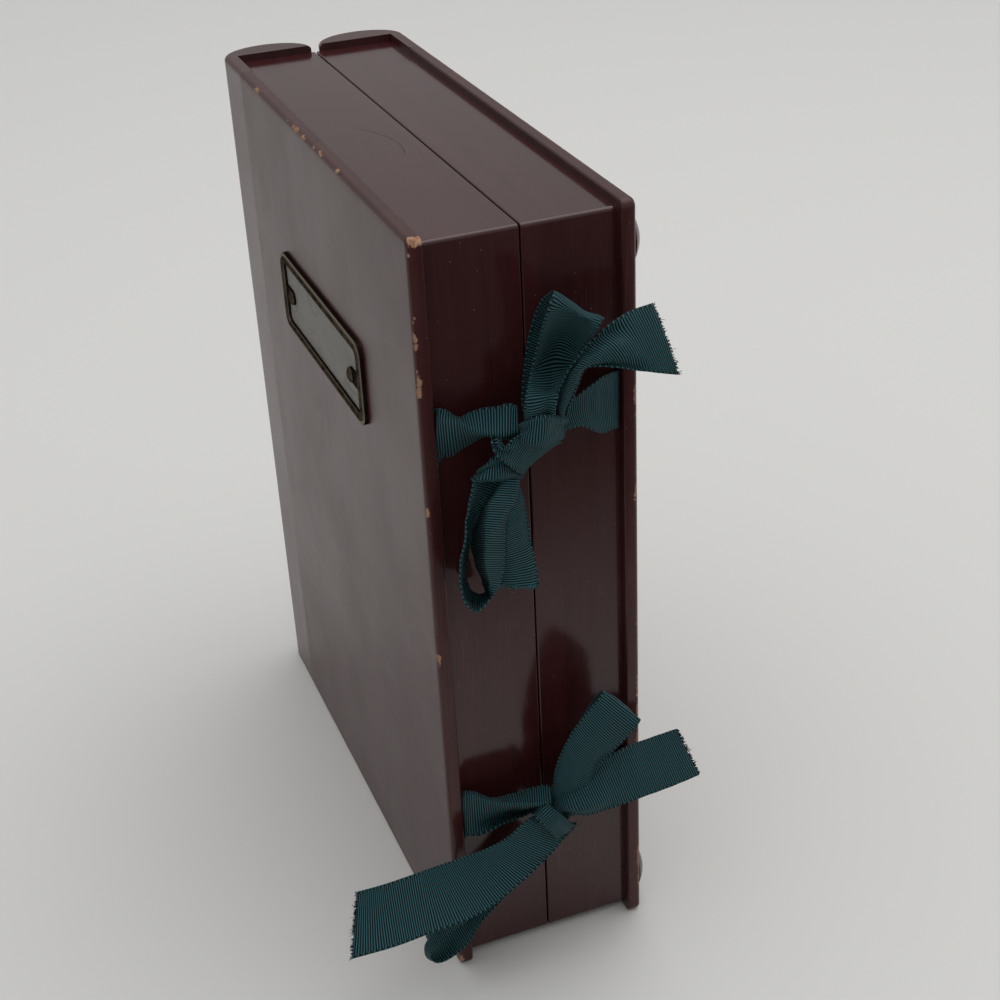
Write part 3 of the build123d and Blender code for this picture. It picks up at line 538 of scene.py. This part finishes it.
def strip(name, rows, body, pleats=2.0, most=2.2, cut=False, steps=8, lean=0.0, width=ribbon_width, roll=0.0):
    """A length of ribbon. Each row is one crossing: edge and edge, with any folds between them, then if
    wanted how far the middle bows out in mm. A crossing narrower than the ribbon lies in pleats: most is their
    greatest height in mm, and lean makes them drift aside. roll is how far the two edges turn under, in mm.
    The ribs follow the crossings, and cut frays the last one."""
    across = 30
    rails = [[mm(*p) for p in row if isinstance(p, tuple)] for row in rows]
    bow = [next((v for v in row if not isinstance(v, tuple)), 0.0) / 1000 for row in rows]
    marks = [(i, k / steps) for i in range(len(rows) - 1) for k in range(steps)] + [(len(rows) - 2, 1.0)]
    lines = []
    for i, t in marks:
        points = [glide([rail[c] for rail in rails], i, t) for c in range(len(rails[0]))]
        lines.append((points, glide(bow, i, t)))
    rng = random.Random(name)
    # four of the six draws are used; all six are made, so that the loose threads' draws stay the same
    wander = [rng.uniform(0, 6.28) for _ in range(6)]
    grid, run, uvs = [], 0.0, []
    for k, (points, arch) in enumerate(lines):
        before, after = lines[max(k - 1, 0)][0], lines[min(k + 1, len(lines) - 1)][0]
        path = (sum(after, Vector()) - sum(before, Vector())).normalized()
        middle = sum(points, Vector()) / len(points)
        if k:
            run += (middle - sum(lines[k - 1][0], Vector()) / len(points)).length
        legs = [q - p for p, q in zip(points, points[1:])]
        laid = max(sum((leg - path * leg.dot(path)).length for leg in legs), 0.002)
        swing = pleat_height(width, laid, pleats, most)
        drift = 0.35 * math.sin(run * 210 + wander[0]) + lean * run * 60
        row = []
        for j in range(across + 1):
            u = j / across
            p = crossing(points, u)
            over = crossing(points, min(u + 0.03, 1)) - crossing(points, max(u - 0.03, 0))
            out = over.cross(path).normalized()
            wave = math.sin(2 * math.pi * pleats * u + wander[1] + drift)
            wave += 0.3 * math.sin(2 * math.pi * pleats * 1.9 * u + wander[2] + drift * 2)
            hold = min(1.0, 8 * u, 8 * (1 - u)) ** 0.5
            lift = arch * 4 * u * (1 - u) + swing * wave * (0.5 + 0.5 * hold)
            lift -= roll / 1000 * abs(2 * u - 1) ** 4
            p += out * (lift + 0.0001 * math.sin(run * 900 + u * 5 + wander[3]))
            row.append(p)
        grid.append(row)
        uvs.append([(j / across * width, run) for j in range(across + 1)])
    bm = bmesh.new()
    layer = bm.loops.layers.uv.new("cloth")
    points = [[bm.verts.new(p) for p in row] for row in grid]
    for k in range(len(grid) - 1):
        for j in range(across):
            quad = [(k, j), (k, j + 1), (k + 1, j + 1), (k + 1, j)]
            f = bm.faces.new([points[q][w] for q, w in quad])
            f.smooth = True
            for loop, (q, w) in zip(f.loops, quad):
                loop[layer].uv = uvs[q][w]
    if cut:
        fray(bm, layer, rng, grid[-1], grid[-2], width, run)
    mesh = bpy.data.meshes.new(name)
    bm.to_mesh(mesh)
    bm.free()
    o = bpy.data.objects.new(name, mesh)
    scene.collection.objects.link(o)
    thick = o.modifiers.new("thick", "SOLIDIFY")
    thick.thickness, thick.offset = ribbon_thick, 0.0
    bpy.context.view_layer.update()
    solid = bpy.data.meshes.new_from_object(o.evaluated_get(bpy.context.evaluated_depsgraph_get()))
    o.modifiers.clear()
    o.data = solid
    o.data.name = name
    o.data.materials.append(weave.material)
    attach(o, body)
    return o, width, run


def declare(made, held, *rests):
    """Gives back the strip's object. held and rests are not used."""
    o, width, length = made
    return o


# Upper bow, base's half
# The ribbon comes out of the base's upper slot, crosses the fore-edge to the knot, stands up as the large
# loop and ends in the tail that points up to the right.
rows = [((33.15, 2.6, 244.0), (33.15, 2.6, 222.0)), ((29.6, -0.6, 245.4), (29.6, -0.6, 224.0), 0.8),
        ((25.3, -3.0, 246.1), (24.9, -3.0, 224.7), 1.2), ((20.7, -5.0, 245.4), (20.6, -6.0, 227.5), 1.2),
        ((14.0, -6.0, 242.6), (14.0, -8.0, 232.0), 0.8), ((6.0, -7.0, 241.0), (6.0, -10.0, 233.0))]
made = strip("upper_base_stretch", rows, "base", pleats=0.6, most=0.6)
stretch = declare(made, "stretched", "base_front_wall")
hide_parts("upper_base_ribbon")
rows = [((-5.7, -9.0, 238.0), (4.5, -10.0, 236.1)), ((-8.2, -14.0, 244.6), (2.2, -15.0, 243.0), 1.0),
        ((-7.9, -14.5, 249.0), (3.0, -16.0, 249.1), 0.8),
        ((-5.0, -10.5, 253.1), (7.5, -12.5, 253.0), -2.0),
        ((-2.6, -8.5, 258.2), (12.1, -10.5, 258.4), -4.4),
        ((-1.0, -10.5, 267.2), (14.6, -13.0, 264.2), -5.0),
        ((-0.5, -16.0, 278.0), (15.6, -19.0, 271.0), -3.6),
        ((0.5, -18.0, 284.0), (16.7, -20.5, 274.2), -1.2), ((3.2, -14.5, 284.8), (19.0, -17.0, 273.2)),
        ((4.4, -10.5, 283.4), (20.7, -12.0, 271.4)), ((4.3, -6.5, 280.9), (20.9, -8.0, 269.0)),
        ((2.8, -4.0, 277.8), (19.6, -5.0, 265.6)), ((1.3, -2.0, 271.7), (17.1, -2.5, 260.1)),
        ((-1.0, -1.5, 262.4), (14.4, -1.5, 253.0)), ((-2.8, -1.5, 252.0), (10.6, -1.5, 245.4)),
        ((-4.4, -3.0, 244.6), (6.2, -3.0, 240.3)), ((-5.1, -6.0, 239.8), (3.4, -6.0, 236.8))]
declare(strip("upper_base_loop", rows, "base", pleats=1.1, most=1.0, steps=6), "gathered", stretch.name)
rows = [((3.9, -9.0, 236.5), (8.5, -10.0, 236.7)), ((2.7, -13.0, 243.1), (8.0, -14.0, 243.0)),
        ((2.6, -15.0, 248.7), (9.0, -17.0, 249.3)), ((3.8, -17.0, 253.6), (10.0, -19.0, 254.6)),
        ((6.0, -18.0, 258.6), (11.0, -21.0, 259.5)), ((9.0, -18.5, 262.7), (14.7, -22.0, 260.2)),
        ((13.5, -18.0, 266.5), (21.1, -22.5, 258.6)), ((20.0, -17.0, 270.7), (28.0, -23.0, 256.3), 0.5),
        ((28.7, -15.0, 273.4), (35.1, -23.0, 253.7), 0.8),
        ((38.4, -13.0, 273.8), (43.2, -22.0, 250.8), 0.8)]
made = strip("upper_base_tail", rows, "base", pleats=1.3, most=1.6, cut=True, steps=6)
declare(made, "gathered", stretch.name)

# Upper knot
# Three turns of gathered ribbon laid over one another: one across the top, one that starts at the left
# like a cuff and sweeps under it to the right, and a low one beside the hanging loop.
turn_width = 0.012
rows = [((-7.4, -4.0, 235.3), (-10.5, -5.0, 230.2)), ((-8.5, -9.0, 239.0), (-11.4, -10.0, 231.6)),
        ((-7.5, -14.0, 242.6), (-10.1, -15.0, 233.4)), ((-5.6, -17.0, 244.1), (-7.5, -18.0, 234.0)),
        ((-2.0, -18.0, 244.1), (-3.6, -18.5, 233.1)), ((3.0, -15.5, 241.9), (0.7, -16.0, 231.5)),
        ((8.9, -10.0, 238.1), (5.5, -10.5, 229.0)), ((12.5, -3.0, 233.6), (9.0, -4.0, 225.8))]
made = strip("upper_knot_top", rows, "base", pleats=1.5, most=0.5, lean=0.3, width=turn_width, roll=1.2)
declare(made, "gathered", stretch.name)
rows = [((-17.7, -8.0, 238.1), (-14.6, -8.0, 237.0)), ((-19.6, -12.0, 238.6), (-16.1, -12.0, 237.4)),
        ((-20.4, -14.0, 237.2), (-16.6, -14.0, 235.9)), ((-19.5, -14.5, 233.5), (-15.2, -14.5, 234.7)),
        ((-17.7, -14.5, 230.7), (-12.4, -14.0, 236.7)), ((-15.3, -14.5, 228.0), (-6.9, -13.5, 237.4)),
        ((-11.8, -13.0, 224.2), (-1.7, -13.5, 234.7)), ((-8.2, -9.0, 220.2), (4.8, -11.5, 230.8)),
        ((-6.7, -4.0, 217.3), (6.7, -6.0, 227.7))]
made = strip("upper_knot_middle", rows, "base", pleats=1.5, most=0.6, lean=-0.3, width=turn_width, roll=1.0)
declare(made, "gathered", stretch.name)
rows = [((-21.3, -3.0, 220.8), (-23.6, -3.0, 217.5)), ((-22.6, -9.0, 224.9), (-25.5, -9.0, 220.9)),
        ((-21.7, -12.5, 228.6), (-24.3, -13.0, 222.6)), ((-19.3, -13.0, 230.5), (-21.7, -14.5, 222.7)),
        ((-16.1, -13.0, 231.2), (-18.2, -14.5, 221.8)), ((-12.3, -12.0, 229.5), (-14.3, -13.5, 220.4)),
        ((-8.8, -9.0, 224.9), (-9.4, -9.0, 217.3)), ((-5.5, -3.0, 219.6), (-5.9, -3.0, 213.9))]
declare(strip("upper_knot_low", rows, "lid", pleats=1.5, most=0.7, width=turn_width, roll=0.8), "gathered")

# Upper bow, lid's half
# From the lid's upper slot the ribbon is pinched into a long fold before the knot, then hangs down as a
# narrow open loop and a creased tail.
rows = [((-33.15, 2.6, 244.6), (-33.15, 2.6, 238.5), (-33.15, 2.6, 222.8)),
        ((-31.6, 1.5, 244.8), (-33.7, -4.0, 243.2), (-31.6, 3.0, 225.7)),
        ((-28.9, 1.5, 243.3), (-32.3, -8.0, 244.6), (-28.4, 3.0, 225.6)),
        ((-26.2, 1.5, 240.7), (-29.8, -11.0, 244.7), (-24.9, 2.5, 227.3)),
        ((-24.7, 1.0, 240.2), (-28.5, -12.5, 244.0), (-22.1, 2.0, 228.8)),
        ((-22.0, 0.0, 241.9), (-25.8, -14.0, 242.4), (-19.2, 1.0, 230.7)),
        ((-17.9, -1.0, 242.8), (-22.8, -15.0, 241.1), (-16.3, 0.0, 231.4)),
        ((-13.6, -3.0, 243.5), (-18.3, -14.5, 239.3), (-13.2, -2.0, 231.2)),
        ((-10.5, -7.0, 245.7), (-13.9, -13.5, 237.6), (-10.4, -4.0, 230.8)),
        ((-7.9, -8.0, 244.7), (-9.8, -12.0, 237.4), (-7.2, -5.0, 231.6))]
made = strip("upper_lid_stretch", rows, "lid", pleats=0.5, most=0.5, steps=6)
stretch = declare(made, "folded", "lid_front_wall")
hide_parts("upper_lid_ribbon")
rows = [((-14.3, -5.0, 217.8), (-15.6, -12.0, 221.6), (-10.0, -12.5, 220.5), (-10.1, -7.0, 217.4)),
        ((-17.0, -4.0, 213.3), (-18.5, -15.0, 219.7), (-11.0, -14.0, 216.9), (-10.6, -6.0, 212.0)),
        ((-18.6, -2.0, 208.8), (-21.2, -16.5, 217.7), (-12.5, -15.0, 214.4), (-11.5, -7.0, 208.8)),
        ((-21.2, -0.5, 204.0), (-23.2, -17.0, 214.3), (-15.2, -15.5, 211.1), (-13.5, -8.5, 206.2)),
        ((-23.4, 0.5, 197.3), (-24.4, -17.5, 208.4), (-20.2, -16.5, 206.4), (-14.7, -9.0, 200.5)),
        ((-24.1, 0.5, 192.3), (-24.8, -17.5, 203.1), (-23.8, -16.8, 202.3), (-15.1, -9.0, 195.5)),
        ((-23.5, 0.0, 185.9), (-25.6, -18.0, 197.2), (-24.4, -17.0, 196.1), (-15.6, -9.0, 189.1)),
        ((-22.8, -0.5, 181.8), (-25.6, -17.5, 192.6), (-24.3, -16.5, 191.4), (-16.2, -9.5, 185.3)),
        ((-21.4, -1.5, 177.2), (-24.4, -16.5, 187.3), (-23.4, -15.5, 186.3), (-17.6, -10.5, 181.4)),
        ((-20.5, -2.5, 174.3), (-23.0, -12.5, 181.0), (-22.5, -12.8, 180.5), (-20.3, -12.5, 179.2)),
        ((-20.1, -2.5, 172.5), (-21.2, -7.0, 174.4), (-22.1, -11.0, 176.0), (-22.8, -14.5, 177.3)),
        ((-21.5, -2.0, 171.6), (-23.0, -6.5, 173.0), (-24.7, -11.5, 174.6), (-26.1, -16.0, 175.8)),
        ((-24.6, -2.0, 172.9), (-26.5, -7.0, 173.6), (-28.3, -12.0, 174.5), (-30.2, -17.0, 175.4)),
        ((-26.5, -1.5, 175.4), (-28.9, -6.5, 176.7), (-31.4, -12.0, 178.4), (-33.7, -17.0, 179.8)),
        ((-27.2, -1.0, 178.5), (-29.6, -6.0, 180.8), (-32.3, -11.5, 183.3), (-34.9, -17.0, 185.9)),
        ((-26.3, 0.0, 183.5), (-29.1, -5.5, 186.6), (-31.8, -11.0, 189.9), (-34.6, -16.5, 193.1)),
        ((-25.7, 0.0, 189.0), (-28.4, -5.5, 192.5), (-31.0, -11.0, 196.0), (-33.5, -16.0, 199.1)),
        ((-25.0, -1.0, 195.3), (-27.3, -6.0, 198.6), (-29.4, -10.5, 201.4), (-31.6, -15.0, 204.3)),
        ((-24.7, -3.0, 201.5), (-26.8, -7.0, 204.3), (-28.8, -10.5, 206.8), (-30.8, -14.0, 209.3)),
        ((-24.1, -5.0, 205.9), (-26.1, -8.0, 208.3), (-28.0, -11.0, 210.6), (-29.8, -13.5, 212.7)),
        ((-20.5, -7.0, 210.7), (-23.2, -9.0, 213.2), (-25.8, -11.0, 215.7), (-28.2, -12.5, 217.8)),
        ((-17.0, -8.0, 215.4), (-20.4, -9.5, 217.7), (-23.5, -10.5, 219.8), (-26.6, -11.5, 221.8)),
        ((-14.9, -8.5, 219.7), (-18.3, -9.0, 221.3), (-21.8, -9.5, 222.9), (-25.2, -10.0, 224.5))]
declare(strip("upper_lid_loop", rows, "lid", pleats=1.2, most=0.7, steps=5), "gathered", stretch.name)
rows = [((-12.4, -6.0, 214.0), (-12.5, -8.5, 216.0), (-8.7, -8.0, 217.1)),
        ((-13.8, -5.0, 206.0), (-13.9, -8.5, 209.1), (-6.8, -7.0, 209.6)),
        ((-14.9, -4.0, 196.3), (-14.5, -8.0, 199.6), (-4.9, -6.0, 200.0)),
        ((-16.5, -4.0, 187.1), (-15.5, -7.5, 190.0), (-4.2, -6.0, 190.2)),
        ((-17.4, -4.5, 181.1), (-16.6, -7.5, 183.0), (-3.2, -6.5, 182.5)),
        ((-17.7, -5.0, 177.4), (-17.3, -8.0, 179.3), (-2.7, -7.0, 176.5)),
        ((-17.8, -6.0, 176.0), (-17.4, -7.5, 176.8), (-2.6, -7.5, 173.4))]
declare(strip("upper_lid_tail", rows, "lid", pleats=1.0, most=1.0, cut=True), "gathered", stretch.name)

# Lower bow, base's half
# The same tie lower down: a flatter knot, a loop that leans up to the right and a smooth tail beside it.
rows = [((33.15, 2.6, 83.0), (33.15, 2.6, 61.0)), ((30.4, 0.0, 84.5), (30.8, 0.0, 61.8), 0.6),
        ((26.5, -2.0, 85.6), (27.1, -2.0, 63.4), 1.0), ((17.2, -4.0, 81.5), (17.7, -4.0, 64.8), 1.0),
        ((8.3, -5.0, 76.6), (8.8, -5.0, 64.2)), ((0.0, -7.0, 74.5), (0.5, -7.0, 66.0))]
made = strip("lower_base_stretch", rows, "base", pleats=0.8, most=0.8)
stretch = declare(made, "stretched", "base_front_wall")
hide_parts("lower_base_ribbon")
rows = [((-3.0, -9.0, 74.0), (4.0, -9.0, 68.0)), ((-1.8, -11.0, 84.6), (5.7, -11.0, 74.3)),
        ((-1.3, -13.5, 95.6), (11.2, -15.5, 83.4), 1.0), ((2.7, -16.0, 109.0), (14.1, -18.5, 95.1)),
        ((9.1, -18.5, 121.4), (21.3, -21.0, 105.2), 0.5), ((15.7, -19.0, 129.4), (29.2, -21.5, 113.9)),
        ((16.1, -14.5, 126.3), (29.5, -16.5, 110.8)), ((14.9, -9.0, 118.5), (28.3, -11.0, 102.8)),
        ((9.8, -5.0, 104.5), (22.2, -7.0, 89.3)), ((5.0, -3.0, 89.7), (15.9, -4.5, 74.5)),
        ((2.4, -3.5, 78.4), (10.0, -4.5, 68.9)), ((-2.0, -8.0, 73.0), (4.0, -8.0, 66.0))]
declare(strip("lower_base_loop", rows, "base", pleats=1.0, most=1.6, steps=7), "gathered", stretch.name)
rows = [((-3.0, -10.5, 77.0), (0.0, -12.0, 71.0)), ((-1.4, -12.0, 81.0), (1.6, -15.0, 75.6), 0.6),
        ((3.5, -13.0, 87.6), (7.0, -20.0, 75.9), 1.6), ((12.9, -14.0, 93.6), (16.8, -21.0, 76.6), 0.8),
        ((24.8, -14.0, 97.2), (29.4, -20.5, 77.1), 0.3), ((37.7, -12.0, 96.7), (42.7, -19.0, 76.7), 0.2),
        ((49.1, -11.0, 96.5), (56.0, -17.0, 76.5))]
declare(strip("lower_base_tail", rows, "base", pleats=1.0, most=1.5, cut=True), "gathered", stretch.name)

# Lower knot
# One broad flat turn over the crossing, with its ribs slanting up to the right.
rows = [((-7.9, -4.0, 70.3), (-3.3, -4.0, 74.0)), ((-10.0, -10.0, 75.2), (-5.4, -10.0, 79.1)),
        ((-10.6, -13.5, 77.1), (-5.4, -14.0, 81.6)), ((-9.5, -16.0, 76.0), (-4.0, -17.0, 81.0)),
        ((-7.2, -17.0, 72.6), (-1.0, -18.0, 77.3)), ((-3.8, -15.5, 66.3), (3.1, -16.0, 70.9)),
        ((-0.5, -11.0, 59.9), (7.3, -11.0, 65.0)), ((1.1, -6.0, 55.3), (8.7, -6.0, 60.6))]
made = strip("lower_knot_turn", rows, "base", pleats=1.0, most=0.35, width=turn_width, roll=0.8)
declare(made, "gathered", stretch.name)

# Lower bow, lid's half
# From the lid's lower slot the ribbon folds forward over itself into the knot. Its tail slants down to
# the left, past the cover, and the loop behind it hangs nearly shut.
rows = [((-33.15, 2.6, 84.2), (-33.15, 2.6, 79.0), (-33.15, 2.6, 68.0), (-33.15, 2.6, 62.2)),
        ((-31.6, 1.5, 85.1), (-32.7, -1.5, 85.2), (-32.9, 0.5, 69.8), (-33.4, 0.5, 64.8)),
        ((-29.1, 0.0, 84.8), (-30.9, -5.0, 87.0), (-30.1, -1.5, 70.4), (-29.8, -2.0, 65.4)),
        ((-26.5, -0.5, 83.1), (-28.3, -8.5, 87.1), (-25.2, 0.5, 67.6), (-25.8, -3.5, 66.7)),
        ((-22.9, -1.0, 80.5), (-25.5, -11.5, 87.0), (-20.2, 2.5, 66.2), (-22.1, -4.5, 68.9)),
        ((-17.7, -1.0, 79.7), (-21.0, -13.0, 85.8), (-15.2, 2.5, 67.9), (-17.7, -5.0, 70.2)),
        ((-11.0, -2.0, 80.3), (-14.8, -14.5, 84.6), (-9.3, 1.0, 67.9), (-12.0, -5.0, 70.8)),
        ((-6.3, -4.0, 82.3), (-10.8, -15.0, 83.3), (-6.5, -3.0, 71.0), (-8.3, -6.0, 72.4)),
        ((-2.6, -6.0, 83.5), (-5.8, -14.5, 81.7), (-2.3, -5.0, 72.0), (-3.8, -7.0, 73.1)),
        ((-1.2, -7.0, 82.3), (-3.2, -12.0, 79.4), (-0.9, -6.0, 72.8), (-1.7, -7.0, 72.9))]
made = strip("lower_lid_stretch", rows, "lid", pleats=0.5, most=0.5, steps=6)
stretch = declare(made, "folded", "lid_front_wall")
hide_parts("lower_lid_ribbon")
rows = [((-6.2, -9.0, 74.0), (8.7, -9.0, 63.9)), ((-11.0, -12.0, 75.6), (5.1, -12.5, 63.5)),
        ((-16.4, -13.0, 73.5), (-0.1, -14.0, 61.1), 0.4),
        ((-22.4, -12.5, 69.0), (-7.5, -15.5, 56.1), 0.5),
        ((-31.9, -12.0, 66.7), (-19.2, -17.5, 50.2), 0.6),
        ((-40.8, -11.0, 65.2), (-32.9, -21.0, 46.4), 0.7),
        ((-48.5, -10.5, 64.5), (-43.4, -23.5, 46.2), 0.8),
        ((-55.5, -10.0, 63.5), (-57.3, -25.0, 47.0), 0.8),
        ((-69.2, -10.0, 62.8), (-72.0, -26.0, 46.9), 0.5), ((-80.4, -12.0, 64.9), (-88.1, -25.0, 46.5))]
made = strip("lower_lid_tail", rows, "lid", pleats=1.0, most=1.0, cut=True, steps=6)
declare(made, "gathered", stretch.name)
rows = [((-12.9, -6.0, 59.4), (-3.7, -6.0, 49.1)), ((-21.0, -2.0, 54.2), (-14.4, -7.0, 41.7)),
        ((-29.6, 0.0, 47.7), (-25.1, -8.0, 33.9)), ((-38.1, 0.0, 42.3), (-33.7, -9.0, 27.2)),
        ((-44.6, 0.0, 37.1), (-38.5, -10.0, 21.2)), ((-49.3, -1.0, 32.1), (-44.7, -12.0, 19.3)),
        ((-52.0, -3.0, 27.1), (-51.8, -15.0, 21.0)), ((-53.2, -6.0, 27.7), (-56.5, -18.0, 27.4)),
        ((-52.5, -8.0, 34.3), (-55.7, -19.0, 32.6)), ((-46.6, -9.0, 43.0), (-50.3, -19.0, 36.5)),
        ((-35.9, -9.0, 53.9), (-38.0, -17.0, 41.5)), ((-23.6, -9.5, 61.1), (-23.1, -14.0, 48.3)),
        ((-14.3, -9.0, 64.2), (-10.7, -11.0, 52.7))]
declare(strip("lower_lid_loop", rows, "lid", pleats=1.2, most=1.8, steps=6), "gathered", stretch.name)
